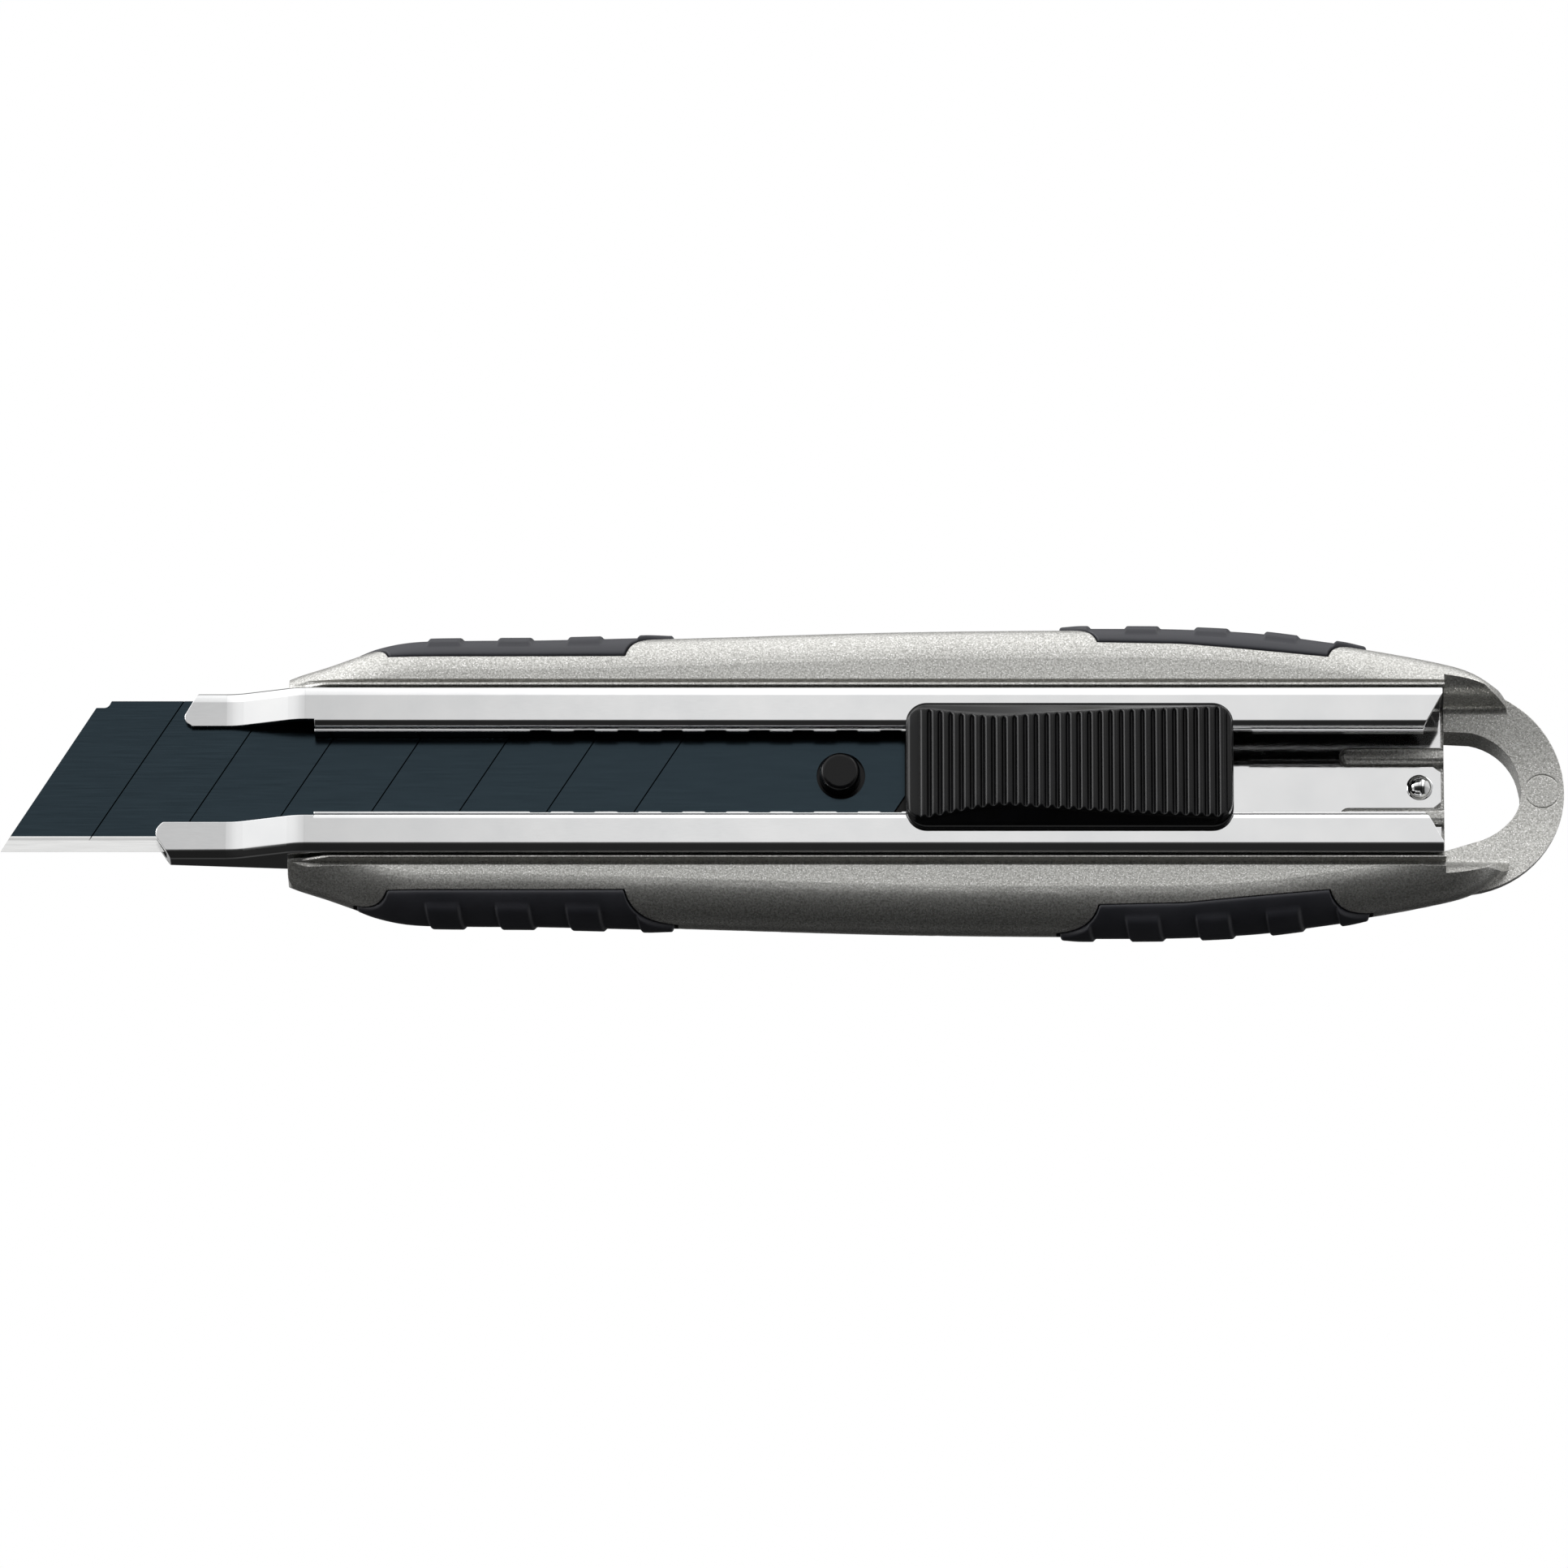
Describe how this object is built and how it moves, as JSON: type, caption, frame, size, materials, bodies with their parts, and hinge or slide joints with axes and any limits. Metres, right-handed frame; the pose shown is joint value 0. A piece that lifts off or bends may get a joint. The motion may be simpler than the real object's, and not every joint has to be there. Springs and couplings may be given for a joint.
{
  "type": "utility knife",
  "caption": "Snap-off utility knife: die-cast metal handle with rubber grips and lanyard ring, folded steel channel, scored blade and ribbed auto-lock slider.",
  "frame": {"origin": "middle of the whole length and width, on the flat back of the handle", "axes": "+X along the knife from the blade tip to the lanyard ring, +Y towards the spine of the blade, +Z out of the face that carries the slider"},
  "size_m": [0.1787, 0.0376, 0.0153],
  "materials": {
    "cast_metal": "sparkling grainy lacquered die casting, warm silver grey",
    "polished_steel": "mirror-polished stainless sheet",
    "grip_rubber": "fine matt charcoal elastomer",
    "blade_steel": "dark blue-grey blade steel with a fine lengthwise brush and a bright ground edge",
    "black_plastic": "semi-gloss black moulding",
    "spring_steel": "bright spring strip",
    "chrome_stop": "polished dome"
  },
  "bodies": {
    "handle": {"handle_casting": "cast_metal", "blade_channel": "polished_steel", "tail_stop": "chrome_stop", "channel_rivets": "spring_steel", "front_grip_spine": "grip_rubber", "front_grip_edge": "grip_rubber", "rear_grip_spine": "grip_rubber", "rear_grip_edge": "grip_rubber"},
    "slider": {"blade": "blade_steel", "blade_carrier": "black_plastic", "slider_base": "black_plastic", "lock_spring": "spring_steel"},
    "thumb_cap": {"thumb_slide": "black_plastic"}
  },
  "joints": [
    {"name": "blade_travel", "type": "slide", "parent": "handle", "child": "slider", "axis": [1, 0, 0], "range_m": [-0.06, 0.02], "deforming": ["lock_spring"]},
    {"name": "lock_release", "type": "slide", "parent": "slider", "child": "thumb_cap", "axis": [1, 0, 0], "range_m": [-0.0008, 0.0008], "stiffness_N_per_m": 900, "deforming": ["lock_spring"]}
  ]
}
